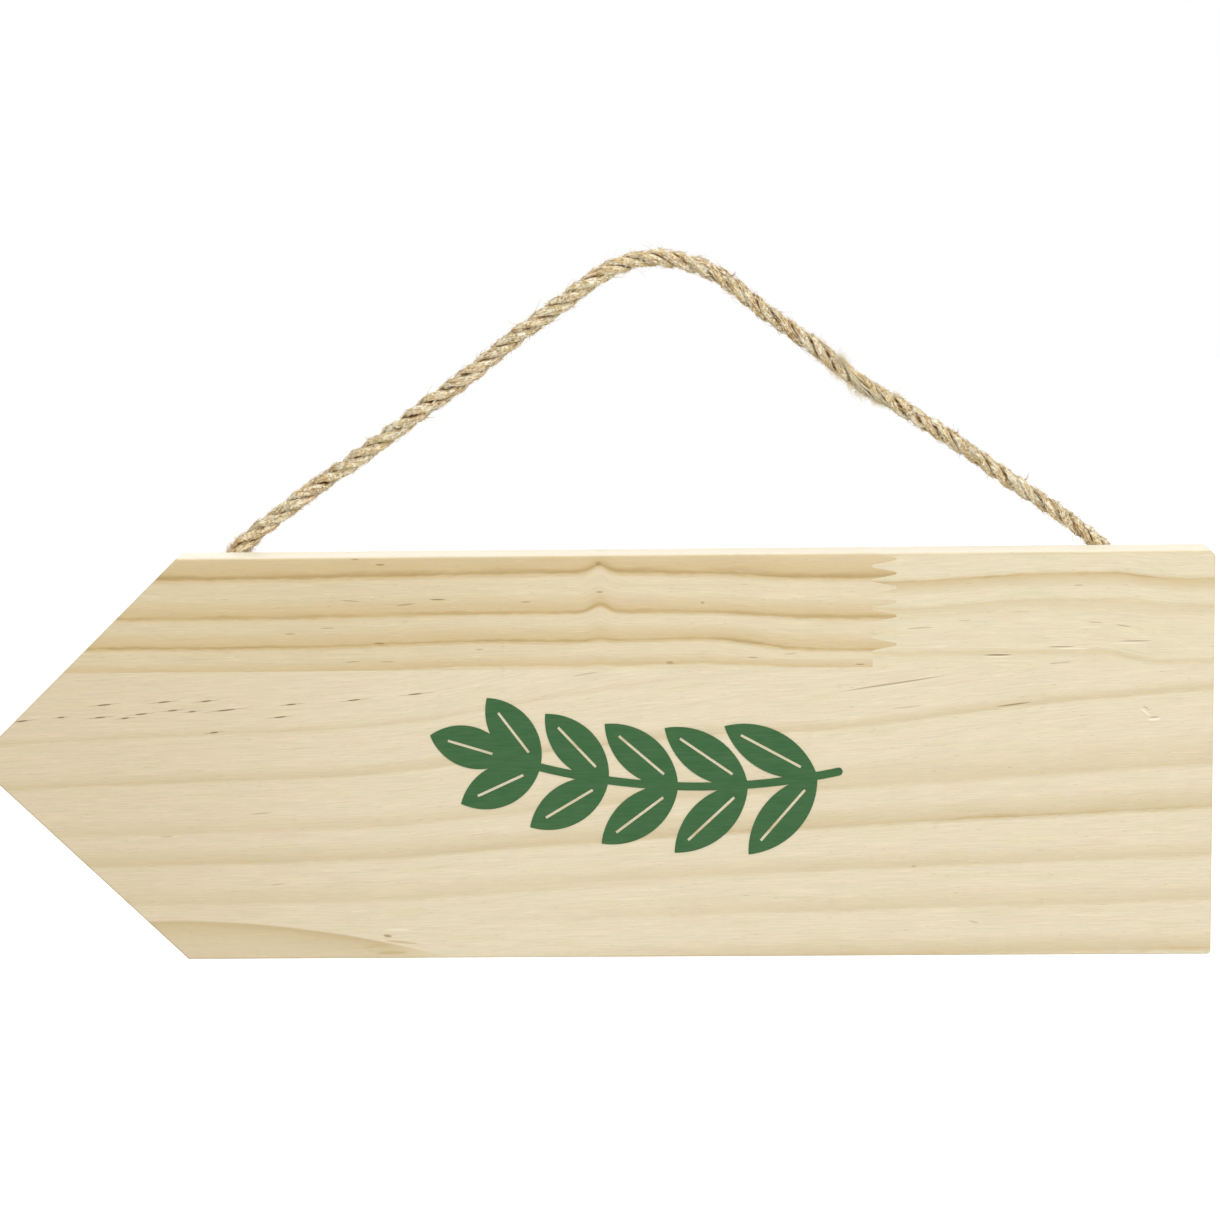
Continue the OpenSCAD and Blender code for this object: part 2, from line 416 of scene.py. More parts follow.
def add_lying_fibre(heap, length, lift, radius):
    """A fibre that follows a strand's outer side and comes off it a little towards its end."""
    strand = heap.dice.randrange(STRANDS)
    stride = round(length / rope_step / (FIBRE_POINTS - 1))
    first = heap.dice.randrange(len(rope_line) - stride * FIBRE_POINTS)
    angle = heap.dice.gauss(0, COAT_AROUND)
    drift = heap.spread(-0.5, 0.3) * 2 * math.pi * FIBRE_TURNS
    path = []
    for k in range(FIBRE_POINTS):
        index = first + k * stride
        raised = 1.01 + lift * (k / (FIBRE_POINTS - 1)) ** 2
        path.append(strand_spot(strand, index, angle + drift * k * stride * rope_step, raised))
    if heap.dice.random() < 0.5:
        path.reverse()
    heap.add_path(path, radius, patchy_tone(heap, path[0]))


def add_bridge(heap):
    """A flat bundle of fibres that lies along the rope and crosses a groove."""
    stride = round(heap.spread(*BRIDGE_LENGTHS) / rope_step / (FIBRE_POINTS - 1))
    first = heap.dice.randrange(len(rope_line) - stride * FIBRE_POINTS)
    middle = heap.spread(0, 2 * math.pi)
    lean = heap.spread(*BRIDGE_LEAN)
    tone = heap.spread(0.1, 0.8)
    for _ in range(BRIDGE_FIBRES):
        angle = middle + heap.dice.gauss(0, BRIDGE_AROUND)
        path = []
        for k in range(FIBRE_POINTS):
            index = first + k * stride
            _, across, out = rope_frame(index)
            turned = angle + lean * k * stride * rope_step
            sunk = abs(2 * k / (FIBRE_POINTS - 1) - 1) ** 2 * BRIDGE_SINK
            spoke = math.cos(turned) * across + math.sin(turned) * out
            path.append(rope_line[index] + spoke * rope_swell(index) * (BRIDGE_OUT - sunk))
        heap.add_path(path, FIBRE_R * heap.spread(2, 4), tone + heap.spread(-0.1, 0.2))


coat = FibreHeap(COAT_SEED)
for _ in range(COAT_COUNT):
    length = coat.spread(*COAT_LENGTHS)
    lift = coat.dice.random() ** 2 * COAT_LIFT
    add_lying_fibre(coat, length, lift, FIBRE_R * coat.spread(*COAT_WIDTHS))
for _ in range(BRIDGES):
    add_bridge(coat)
rope_coat = coat.make("rope_coat")
print("fibres on the strands:", len(rope_coat.data.polygons), "faces")

# %% [markdown]
# ## Loose fuzz
# Besides those, fine ends stand off the rope all over. They start in a strand, most of them leave it at
# a low slant, and a few stand up steeply or are long. They soften the rope's outline against the white
# background to a greyish fringe. The many short ones need fewer points than the long ones. Each sort is
# written as its count, its shortest and longest length, its steepest lift, its palest tone and its points.

# %% Loose fuzz
FUZZ_SEED = 11
FUZZ_SORTS = [(7600, 0.7, 2.4, 1.1, 0.6, 4), (900, 2.0, 6.0, 0.9, 1.0, FIBRE_POINTS)]
FUZZ_WIDTHS = (1.2, 3.2)
FUZZ_AROUND = 1.3
FUZZ_ROOT = 0.95


def add_loose_fibre(heap, lift, length, tone, points):
    """A fibre that starts on a strand's outer side and runs along the rope, lifted off it."""
    index = heap.dice.randrange(len(rope_line))
    strand = heap.dice.randrange(STRANDS)
    start = strand_spot(strand, index, heap.spread(-FUZZ_AROUND, FUZZ_AROUND), FUZZ_ROOT)
    outward = (start - rope_line[index]).normalized()
    heading, _, _ = rope_frame(index)
    way = heading * heap.dice.choice((-1, 1)) + heap.wobble(0.3)
    first = way + outward * lift * 0.9
    last = way + outward * lift * heap.spread(-0.6, 1.4) + heap.wobble(0.12 + lift * 0.8)
    heap.add_bent(start, first, last, length, FIBRE_R * heap.spread(*FUZZ_WIDTHS), tone, points)


fuzz = FibreHeap(FUZZ_SEED)
for count, shortest, longest, steepest, palest, points in FUZZ_SORTS:
    for _ in range(count):
        lift = fuzz.dice.random() * steepest
        add_loose_fibre(fuzz, lift, fuzz.spread(shortest, longest), fuzz.spread(0, palest), points)
rope_fuzz = fuzz.make("rope_fuzz")
print("rope fuzz:", len(rope_fuzz.data.polygons), "faces")

# %% [markdown]
# ## The tuft, the whiskers and the cut ends
# Right of the rope's peak a bundle of fibres has come loose: a few yarns cross the front of the rope,
# with puffs of fluff above and below them. A few thick ends stand out elsewhere, the rope is rough where
# it bends behind the board, and both cut ends, low behind the board, are frayed. All of it is the same
# fibre, thrown more widely. Each puff is written as its X, how far it points sideways and forwards, its
# reach and half length, its count of fibres and its darkest tone. Each yarn has the X and the height
# where it starts and ends, and its tone. A whisker has an X and a length. The last lines hang the new
# pieces on the model's root and hide the model's tube, so that the strands take its place.

# %% The tuft, the whiskers and the cut ends
TUFT_SEED = 5
PUFFS = [
    (58.5, 1, 0, 3.2, 2.2, 90, 0.4), (58.5, 0.6, 1, 2.6, 2.6, 260, 0.45),
    (66.5, -1, 0, 4.0, 4.0, 210, 0.35), (59.5, -1, 0, 2.8, 1.8, 130, 0.3),
    (72, -1, 0, 2.6, 2.6, 150, 0.3), (76.5, 1, 0, 2.2, 0.9, 60, 0.2),
    (-136, 1, 0, 2.8, 3.0, 200, 0.2), (-136, -1, 0, 2.8, 3.0, 200, 0.2),
    (52, 1, 0, 2.0, 3.0, 120, 0.3), (55, -1, 0, 1.8, 2.5, 90, 0.3),
]
PUFF_ROOT = (0.3, 0.45)
PUFF_WIDTHS = (0.7, 1.5)
PUFF_TONES = 0.35
YARNS = [
    (61.0, 73.5, 1.0, -1.7, 0.4), (62.5, 72.0, 0.1, -2.4, 0.6), (59.5, 69.0, 1.6, 0.3, 0.3),
    (66.0, 76.5, -0.3, -1.4, 0.5),
]
YARN_FIBRES = 18
YARN_R = 0.34
YARN_OUT = 2.5
YARN_WRAP = 0.2
YARN_TURNS = 2.5
YARN_POINTS = 16
WHISKERS = [(117, 5), (23.5, 3.5), (-92, 3), (95, 3)]
WHISKER_FIBRES = 6
WHISKER_R = 0.09
WHISKER_ROOT = 0.4
END_FIBRES = 60
END_R = 1.9
END_LENGTHS = (1.5, 6)


def index_at(x):
    """Which point of the rope's line has the X that is nearest to the given one."""
    return min(range(len(rope_line)), key=lambda k: abs(rope_line[k].x - x))


tuft = FibreHeap(TUFT_SEED)
for x, sideways, forward, reach, half_length, count, darkest in PUFFS:
    for _ in range(count):
        index = index_at(x + tuft.dice.gauss(0, 0.5) * half_length)
        heading, across, out = rope_frame(index)
        away = across * sideways + out * (forward + tuft.spread(-0.6, 0.6))
        start = rope_line[index] + away.normalized() * ROPE_D * tuft.spread(*PUFF_ROOT)
        start = start + out * tuft.spread(-1, 1)
        first = away + heading * tuft.spread(-1.2, 1.2) + tuft.wobble(0.5)
        last = away * 0.2 + tuft.wobble(1.2)
        length = reach * tuft.spread(0.5, 1.5)
        radius = FIBRE_R * tuft.spread(*PUFF_WIDTHS)
        tuft.add_bent(start, first, last, length, radius, tuft.spread(darkest, darkest + PUFF_TONES))


def add_yarn_fibre(heap, first, last, high, low, tone):
    """One fibre of a loose yarn that crosses the front of the rope from high to low."""
    path = []
    radius = YARN_R * math.sqrt(heap.dice.random())
    phase = heap.spread(0, 2 * math.pi)
    for k in range(YARN_POINTS):
        share = k / (YARN_POINTS - 1)
        index = round(first + (last - first) * share)
        _, across, out = rope_frame(index)
        angle = phase + 2 * math.pi * YARN_TURNS * share
        drift = high + (low - high) * share
        sideways = drift + radius * math.cos(angle)
        outwards = YARN_OUT - YARN_WRAP * drift * drift + radius * math.sin(angle)
        path.append(rope_line[index] + across * sideways + out * outwards)
    heap.add_path(path, FIBRE_R * heap.spread(1.5, 3), tone)


for start_x, end_x, high, low, tone in YARNS:
    start_index = index_at(start_x)
    end_index = index_at(end_x)
    for _ in range(YARN_FIBRES):
        add_yarn_fibre(tuft, start_index, end_index, high, low, tone + tuft.spread(-0.15, 0.3))

for x, longest in WHISKERS:
    index = index_at(x)
    heading, across, _ = rope_frame(index)
    for _ in range(WHISKER_FIBRES):
        start = rope_line[index] + across * ROPE_D * WHISKER_ROOT + tuft.wobble(0.3)
        first = heading + 0.8 * across + tuft.wobble(0.2)
        last = -heading + across + tuft.wobble(0.5)
        length = longest * tuft.spread(0.5, 1)
        tuft.add_bent(start, first, last, length, WHISKER_R, tuft.spread(0, 0.3))

for index, ahead in ((0, -1), (len(rope_line) - 1, 1)):
    heading, across, out = rope_frame(index)
    for _ in range(END_FIBRES):
        start = rope_line[index] + across * tuft.spread(-END_R, END_R) + out * tuft.spread(-END_R, END_R)
        start = start - ahead * heading * 0.5
        first = ahead * heading + tuft.wobble(0.15)
        last = ahead * heading + tuft.wobble(0.5)
        length = tuft.spread(*END_LENGTHS)
        tuft.add_bent(start, first, last, length, FIBRE_R * 1.5, tuft.spread(0.2, 1))
rope_tuft = tuft.make("rope_tuft")
print("tuft and ends:", len(rope_tuft.data.polygons), "faces")

for piece in (rope_strands, rope_coat, rope_fuzz, rope_tuft):
    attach(piece, "root")
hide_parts("rope")
tuple(rope_line[0] * MM)
rope_length * MM
[tuple(p * MM) for p in rope_line]

# %% [markdown]
# ## Writing materials as sums
# A material is a net of small nodes, and most of them do sums. Wiring them one by one hides what they
# work out. So a Value stands for one socket, and a sum written with Values adds the Math nodes. All
# other nodes come from one method, which sets a node's settings first and its sockets after that.

# %% Writing materials as sums
class Value:
    """One output of a material's node; sums on it add Math nodes."""

    def __init__(self, finish, socket):
        self.finish = finish
        self.socket = socket

    def math(self, operation, *numbers):
        return self.finish.node("ShaderNodeMath", {"operation": operation}, dict(enumerate(numbers)))

    def __add__(self, other):
        return self.math("ADD", self, other)

    def __sub__(self, other):
        return self.math("SUBTRACT", self, other)

    def __rsub__(self, other):
        return self.math("SUBTRACT", other, self)

    def __mul__(self, other):
        return self.math("MULTIPLY", self, other)

    def __truediv__(self, other):
        return self.math("DIVIDE", self, other)

    def __abs__(self):
        return self.math("ABSOLUTE", self)

    __radd__ = __add__
    __rmul__ = __mul__

    def larger(self, other):
        """The larger of this value and another."""
        return self.math("MAXIMUM", self, other)

    def over(self, low, high, start=0.0, end=1.0):
        """Goes smoothly from start to end while this value goes from low to high."""
        inputs = {"Value": self, "From Min": low, "From Max": high, "To Min": start, "To Max": end}
        return self.finish.node("ShaderNodeMapRange", {"interpolation_type": "SMOOTHSTEP"}, inputs)

    def hump(self, middle, half_width):
        """A smooth hill of height 1 where this value is near the middle."""
        away = (self - middle) / half_width
        return self.math("EXPONENT", away * away * -1)


def colour(red, green, blue):
    """A colour as a shader wants it, from the 0 to 255 that a picture shows."""
    shares = [part / 255 for part in (red, green, blue)]
    linear = [s / 12.92 if s < 0.04045 else ((s + 0.055) / 1.055) ** 2.4 for s in shares]
    return (*linear, 1)


class Finish:
    """The look of a material or of the world, built node by node."""

    def __init__(self, owner):
        self.owner = bpy.data.materials.new(owner) if isinstance(owner, str) else owner
        self.owner.use_nodes = True
        self.tree = self.owner.node_tree
        self.tree.nodes.clear()

    def add(self, kind, settings=None, inputs=None):
        """Adds a node, sets it up and then gives its sockets their values or links."""
        made = self.tree.nodes.new(kind)
        for name, setting in (settings or {}).items():
            if name == "stops":
                self.set_stops(made.color_ramp, setting)
            else:
                setattr(made, name, setting)
        for name, given in (inputs or {}).items():
            if isinstance(given, Value):
                self.tree.links.new(given.socket, made.inputs[name])
            else:
                made.inputs[name].default_value = given
        return made

    def set_stops(self, ramp, stops):
        """Gives a ramp its grey stops: a place and a height each, both from 0 to 1."""
        first, *middle, last = stops
        for element, (place, height) in zip(ramp.elements, (first, last)):
            element.position = place
            element.color = (height, height, height, 1)
        for place, height in middle:
            ramp.elements.new(place).color = (height, height, height, 1)

    def node(self, kind, settings=None, inputs=None, output=0):
        """Adds a node and returns one of its outputs."""
        return Value(self, self.add(kind, settings, inputs).outputs[output])

    def place(self):
        """Where on the object a point is, in millimetres, as a vector."""
        metres = self.node("ShaderNodeTexCoord", output="Object")
        return self.node("ShaderNodeVectorMath", {"operation": "SCALE"}, {0: metres, "Scale": 1 / MM})

    def parts(self, vector):
        """A vector's three numbers."""
        return [self.node("ShaderNodeSeparateXYZ", inputs={0: vector}, output=k) for k in range(3)]

    def grain(self, vector, size, detail=2.0, roughness=0.5):
        """Noise from 0 to 1 whose spots measure about the given size."""
        scaled = self.node("ShaderNodeVectorMath", {"operation": "DIVIDE"}, {0: vector, 1: size})
        inputs = {"Vector": scaled, "Scale": 1.0, "Detail": detail, "Roughness": roughness}
        return self.node("ShaderNodeTexNoise", inputs=inputs)

    def mix(self, factor, under, top, blend="MIX"):
        """Lays one colour over another."""
        settings = {"data_type": "RGBA", "blend_type": blend, "clamp_factor": True}
        return self.node("ShaderNodeMix", settings, {0: factor, 6: under, 7: top}, output=2)

    def finish(self, base, roughness, height, constants):
        """Adds the shader and the output; the bump's height is in millimetres."""
        normal = self.node("ShaderNodeBump", inputs={"Distance": MM, "Height": height})
        surface = {"Base Color": base, "Roughness": roughness, "Normal": normal, **constants}
        shader = self.node("ShaderNodeBsdfPrincipled", inputs=surface)
        self.add("ShaderNodeOutputMaterial", inputs={"Surface": shader})
        return self.owner


def dress(piece, material):
    """Gives a piece its only material."""
    piece.data.materials.clear()
    piece.data.materials.append(material)


print("the material helpers are ready")

# %% [markdown]
# ## How the growth rings are laid out
# The photograph shows a different piece of wood in each stave, so the rings can't come from one ready
# pattern such as a Wave texture. Pine's year rings are simple, though: seen down a ring's slope, the
# pale early wood darkens slowly into late wood, which ends at a sharp edge where the next year starts.
# So each stave has a ring measure in millimetres, which is the drop below the top edge, bent by smooth
# humps and a little noise. A ramp over that measure darkens towards each edge and then falls off. A ramp
# holds at most 32 points, so each ring gets only five of them. The measure also slopes through the board,
# so the back and the ends show the same rings, and the fine grain is laid along it, so that streaks
# follow the rings. Small marks, such as resin and torn fibres, are oval spots: place, half sizes, rise and
# strength. They fade out a few millimetres deep, so the back shows none of them.

# %% How the growth rings are laid out
BOARD_LENGTH = 400
END_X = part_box("stave_lower")[1].x / MM
TIP_X = END_X - BOARD_LENGTH
TOP_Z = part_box("stave_upper_left")[1].z / MM
FRONT_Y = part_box("stave_lower")[0].y / MM
RING_START = -12
RING_SPAN = 170
SHARP = 0.45
RAGGED = 1.3
RAGGED_SPOTS = (5, 1.2, 0.7)
MARK_DEPTH = 3
RING_SHAPE = [(1.0, 0.0), (0.65, 0.36), (0.24, 0.74), (0.1, 1.0)]


def ring_stops(bands):
    """A ramp's stops from bands: the sharp edge, the soft side's length (negative below), the strength."""
    stops = []
    for edge, soft, strength in bands:
        heights = [(edge - share * soft, height * strength) for share, height in RING_SHAPE]
        heights.append((edge + math.copysign(SHARP, soft), 0.0))
        stops += [((place - RING_START) / RING_SPAN, height) for place, height in heights]
    return sorted(stops)


class Pine(Finish):
    """A pine finish with the board's own measures: along from the tip, drop from the top, depth."""

    def __init__(self, name):
        super().__init__(name)
        self.spot = self.place()
        x, y, z = self.parts(self.spot)
        self.along = x - TIP_X
        self.drop = TOP_Z - z
        self.depth = y - FRONT_Y
        self.rings = self.spot

    def ragged(self, measure):
        """A ring measure with a fine raggedness; the grain follows the smooth one from here on."""
        inputs = {0: self.along, 1: self.depth, 2: measure}
        self.rings = self.node("ShaderNodeCombineXYZ", inputs=inputs)
        return measure + (self.grain(self.rings, RAGGED_SPOTS, detail=3.0) - 0.5) * RAGGED

    def late_wood(self, measure, bands):
        """How much late wood there is at a ring measure."""
        settings = {"stops": ring_stops(bands)}
        return self.node("ShaderNodeValToRGB", settings, {0: (measure - RING_START) / RING_SPAN})

    def spot_mask(self, along, drop, half_length, half_height, rise=0.0):
        """A soft oval spot on the face, which may rise to the right."""
        sideways = (self.along - along) / half_length
        upwards = (self.drop - drop + (self.along - along) * rise) / half_height
        return (sideways * sideways + upwards * upwards).over(0.3, 1.0, 1.0, 0.0)

    def marks(self, spots):
        """The strongest of several oval spots at each place near the front, and 0 elsewhere."""
        strongest = self.along * 0.0
        for along, drop, half_length, half_height, rise, strength in spots:
            mark = self.spot_mask(along, drop, half_length, half_height, rise) * strength
            strongest = strongest.larger(mark)
        return strongest * self.depth.over(MARK_DEPTH, 2 * MARK_DEPTH, 1, 0)


print(f"tip at {TIP_X:.1f} mm, top edge at {TOP_Z:.1f} mm, front at {FRONT_Y:.1f} mm")

# %% [markdown]
# ## The look of planed pine
# All three staves share what makes pine look like pine: fine streaks along the grain, dark flecks and
# pale ones where fibres were torn, patches that lean to yellow or to pink, and end grain where the
# board is cut across. Only their rings, their tones and their marks differ, so one function takes those
# and builds the rest. The streaks are noise that is stretched along the rings. The bump of a few
# hundredths of a millimetre has a noise of its own, because a Bump node works out all that lies behind
# it three times, and the rings and marks would make that slow.

# %% The look of planed pine
LATE = colour(207, 180, 128)
RING_EDGE = colour(180, 152, 102)
DARK_FLECK = colour(170, 144, 100)
PALE_FLECK = colour(252, 242, 216)
END_TONE = colour(226, 205, 165)
PAINTED_TOP_LIGHT = colour(252, 248, 234)
PINK = colour(230, 202, 172)
OLIVE = colour(216, 204, 158)
PITCH = colour(104, 76, 18)
KNOT = colour(176, 146, 96)
PINE_SHINE = {"Specular IOR Level": 0.35}


def planed_pine(pine, pale, late, pitch, torn, late_tone=LATE):
    """Pine whose late wood, dark marks and pale marks are given, each from 0 to 1."""
    streak = pine.grain(pine.rings, (16, 0.9, 0.55), detail=4.0, roughness=0.65)
    hair = pine.grain(pine.rings, (5, 0.35, 0.24), detail=2.0)
    patch = pine.grain(pine.rings, (32, 8, 2.4), detail=2.0)
    tint = pine.grain(pine.rings, (22, 6, 3.2), detail=2.0)
    dark_fleck = pine.grain(pine.rings, (3.4, 0.5, 0.26), detail=1.0).over(0.66, 0.78)
    pale_fleck = pine.grain(pine.rings, (8, 0.4, 0.22), detail=1.0).over(0.64, 0.76)
    base = pine.mix(tint.over(0.48, 0.7) * 0.22, pale, PINK)
    base = pine.mix(tint.over(0.3, 0.52, 1, 0) * 0.22, base, OLIVE)
    base = pine.mix(late * (0.2 + 1.6 * streak), base, late_tone)
    base = pine.mix(late.over(0.7, 1.05) * 0.85, base, RING_EDGE)
    base = pine.mix(dark_fleck * 0.5, base, DARK_FLECK)
    base = pine.mix(pale_fleck * (0.5 - 0.3 * late), base, PALE_FLECK)
    bright = 0.71 + 0.34 * streak + 0.14 * hair + 0.1 * patch
    grey = pine.node("ShaderNodeCombineColor", inputs={0: bright, 1: bright, 2: bright})
    base = pine.mix(1.0, base, grey, blend="MULTIPLY")
    base = pine.mix(torn, base, PALE_FLECK)
    base = pine.mix(pitch, base, PITCH)
    facing = pine.parts(pine.node("ShaderNodeTexCoord", output="Normal"))
    cut_across = abs(facing[0]).over(0.75, 0.99)
    pit = pine.grain(pine.spot, (0.7, 0.35, 0.35), detail=2.0)
    base = pine.mix(cut_across * (0.3 + 0.5 * pit), base, END_TONE, blend="MULTIPLY")
    # Painted highlight: faces that look upwards are mixed towards a pale cream, as if lit more from above.
    base = pine.mix(facing[2].over(0.4, 0.95) * 0.6, base, PAINTED_TOP_LIGHT)
    ridge = pine.grain(pine.spot, (14, 0.6, 0.35), detail=3.0)
    roughness = 0.62 - 0.08 * late + 0.06 * hair
    return pine.finish(base, roughness, ridge * 0.07, PINE_SHINE)


# %% [markdown]
# ## The upper left stave
# This stave has the boldest rings: four bands that end sharply below, one of them on the glue line.
# All four rise a little towards the middle and kink upwards in a small tent where a twig once grew,
# which fades out downwards. The lower ones also lift on both sides of the twig, and all but the lowest
# fall towards the joint.

# %% The upper left stave
TWIG_ALONG = 203.7
TWIG_HALF_WIDTH = 3.6
UPPER_LEFT_TIP = colour(222, 205, 168)
UPPER_LEFT_PALE = colour(230, 215, 181)
UPPER_LEFT_BANDS = [(8.1, 13.0, 1.0), (20.4, 7.0, 1.0), (30.1, 6.7, 1.0), (37.5, 4.0, 0.75)]
UPPER_LEFT_PITCH = [
    (133.5, 2.6, 1.8, 0.35, 0.0, 0.5), (125.5, 0.8, 1.4, 0.3, 0.0, 0.4), (151.7, 14.0, 3.0, 0.28, 0.0, 0.6),
    (141.3, 15.6, 3.5, 0.28, 0.1, 0.45), (123.6, 14.2, 3.5, 0.25, -0.08, 0.35),
    (180, 15.0, 2.0, 0.3, 0.0, 0.4), (104, 24.8, 2.0, 0.25, 0.0, 0.35), (116, 23.0, 3.0, 0.25, 0.0, 0.3),
    (132.7, 28.1, 2.0, 0.4, 0.0, 0.45), (165, 30.3, 1.6, 0.25, 0.0, 0.35),
    (124, 34.0, 3.0, 0.22, 0.05, 0.4), (135.2, 34.1, 3.0, 0.22, 0.0, 0.35),
    (203.8, 12.0, 1.3, 0.4, 0.0, 0.4), (236.7, 15.7, 0.8, 0.5, 0.0, 0.35), (226, 35.1, 1.4, 0.7, 0.0, 0.35),
    (252.6, 33.6, 2.0, 0.25, 0.0, 0.4), (264.6, 32.5, 2.5, 0.25, 0.1, 0.3), (287, 36.1, 1.8, 0.25, 0.0, 0.5),
    (203.5, 2.8, 1.1, 0.8, 0.0, 0.3),
]


def upper_left_finish():
    pine = Pine("banded_pine")
    along, drop = pine.along, pine.drop
    slow = pine.grain(pine.spot, (60, 40, 30), detail=1.0) - 0.5
    quick = pine.grain(pine.spot, (11, 5, 4), detail=2.0) - 0.5
    kink = along.hump(TWIG_ALONG, TWIG_HALF_WIDTH) * drop.over(15, 30, 2.3, 0.5)
    rise = along.hump(200, 60) * 1.1
    shoulders = (along.hump(165, 28) + along.hump(238, 24) * 1.5) * drop.over(14, 28, 0, 0.9)
    fall = along.over(236, 270) * (drop.over(19, 30, 1.2, 2.1) - drop.over(31, 36, 0, 2.1)) - shoulders
    measure = drop + kink + rise - fall + slow * 0.8 + quick * 0.6 + pine.depth * 0.28
    late = pine.late_wood(pine.ragged(measure), UPPER_LEFT_BANDS)
    strength = 0.75 + 0.5 * pine.grain(pine.rings, (30, 20, 2.5), detail=2.0)
    pale = pine.mix(along.over(110, 240), UPPER_LEFT_TIP, UPPER_LEFT_PALE)
    return planed_pine(pine, pale, late * strength, pine.marks(UPPER_LEFT_PITCH), 0.0)


dress(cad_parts["stave_upper_left"], upper_left_finish())
print("upper left stave: bands end at", [edge for edge, _, _ in UPPER_LEFT_BANDS], "mm")

# %% [markdown]
# ## The upper right stave
# The paler piece behind the finger joint was turned over when it was glued: its rings are sharp above
# and fade downwards. The first is clear, the second is only a faint shade, and the third is a narrow
# line that sinks towards the end. The planer has torn out a few fibres there, which leaves short dark
# slots with pale lips.

# %% The upper right stave
UPPER_RIGHT_PALE = colour(231, 219, 187)
UPPER_RIGHT_BANDS = [(6.8, -5.0, 0.85), (15.3, -5.5, 0.4), (32.0, -2.2, 0.5)]
UPPER_RIGHT_PITCH = [
    (331, 33.4, 5.0, 0.22, 0.0, 0.9), (351, 30.9, 5.0, 0.2, 0.0, 0.6), (375, 29.2, 6.0, 0.18, 0.0, 0.6),
    (362, 23.1, 3.0, 0.22, -0.1, 0.3), (306, 24.5, 5.0, 0.25, 0.05, 0.35), (352, 36.0, 3.0, 0.25, 0.1, 0.3),
    (338, 19.5, 4.0, 0.2, 0.0, 0.2), (371, 24.3, 3.0, 0.25, -0.15, 0.35), (356.7, 11.1, 1.6, 0.3, 0.0, 0.3),
    (349, 36.2, 2.0, 0.3, 0.1, 0.3), (320.5, 22.2, 2.5, 0.22, 0.0, 0.25),
]
UPPER_RIGHT_TORN = [
    (331, 34.0, 5.5, 0.2, 0.0, 0.8), (355, 31.5, 6.0, 0.25, 0.0, 0.8), (373, 29.9, 6.5, 0.25, 0.0, 0.6),
    (360, 24.6, 4.0, 0.2, 0.0, 0.5), (313, 30.5, 3.0, 0.3, 0.0, 0.5), (348, 27.5, 4.0, 0.2, 0.0, 0.4),
]


def upper_right_finish():
    pine = Pine("pale_pine")
    along, drop = pine.along, pine.drop
    slow = pine.grain(pine.spot, (60, 40, 30), detail=1.0) - 0.5
    quick = pine.grain(pine.spot, (12, 5, 4), detail=2.0) - 0.5
    arch = along.over(295, 350, 2.4, 0) + along.over(365, 392, 0, 2.2)
    arch = arch * drop.over(18, 30, 1, 0) + along.over(362, 384, 0, 3.4) * drop.over(24, 28)
    measure = drop - arch + slow * 0.6 + quick * 0.5 + pine.depth * 0.35
    late = pine.late_wood(pine.ragged(measure), UPPER_RIGHT_BANDS)
    # The face is also a little darker along its top edge; this is added in with the late wood.
    late = late + drop.over(0.3, 1.6, 0.35, 0)
    strength = 0.6 + 0.8 * pine.grain(pine.rings, (30, 20, 4), detail=2.0)
    pitch = pine.marks(UPPER_RIGHT_PITCH)
    torn = pine.marks(UPPER_RIGHT_TORN)
    return planed_pine(pine, UPPER_RIGHT_PALE, late * strength, pitch, torn)


dress(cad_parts["stave_upper_right"], upper_right_finish())
print("upper right stave: bands start at", [edge for edge, _, _ in UPPER_RIGHT_BANDS], "mm")

# %% [markdown]
# ## The lower stave
# The widest stave was sawn at a slant, so its rings climb towards the right, the upper ones more than
# the lower ones. Its ring measure therefore turns with a slope that shrinks downwards, and that is
# RING_SLOPE at the ring SLOPE_RING. The rings near the point and those at the square end differ in
# strength and width, so two ramps are mixed along the board. A darker wedge lies low on the left, with a
# small knot where it meets the bottom edge. Short resin dashes lie near the point: each is a dark core
# with a long faint tail. A crack and a nick lie further right.

# %% The lower stave
LOWER_PALE = colour(232, 219, 188)
LOWER_TIP = colour(223, 207, 174)
LOWER_LATE = colour(207, 186, 142)
LEVEL_AT = 200
RING_SLOPE = 0.0517
SLOPE_RING = 92
RING_FAN = 52
LEFT_BANDS = [
    (43.5, 3.0, 0.45), (61.5, 5.0, 0.68), (81.0, 6.0, 0.44), (93.3, 7.5, 0.72), (108.7, 8.0, 0.45),
]
RIGHT_BANDS = [
    (61.2, 3.0, 0.7), (82.0, 10.0, 0.5), (93.7, 7.5, 0.8), (106.5, 5.0, 0.6), (119.0, 6.0, 0.5),
    (133.0, 6.0, 0.8),
]
WEDGE_TOP = 119
WEDGE_FROM = 62
WEDGE_BEND = 0.0015
DASHES = [(16.3, 52.6, 2.6), (29, 51.5, 1.6), (41.7, 51.6, 2.4), (43.1, 47.5, 3), (49.8, 51.9, 1.8),
          (55.1, 50.6, 2.6), (62.6, 46.7, 2.6), (65.3, 49.5, 2.2), (76.3, 46.5, 2.4), (82.6, 49.5, 4),
          (71.6, 49.9, 1.6), (78.6, 56.8, 1.8), (100.1, 51.9, 2.6), (103.7, 47.8, 2.2), (124.1, 46.5, 2.8),
          (143.9, 44.7, 3)]
DASH_RISE = 0.1
CORE_HALF_HEIGHT = 0.28
CORE_DARK = 0.8
TAIL_STRETCH = 2.4
TAIL_HALF_HEIGHT = 0.16
TAIL_DARK = 0.4
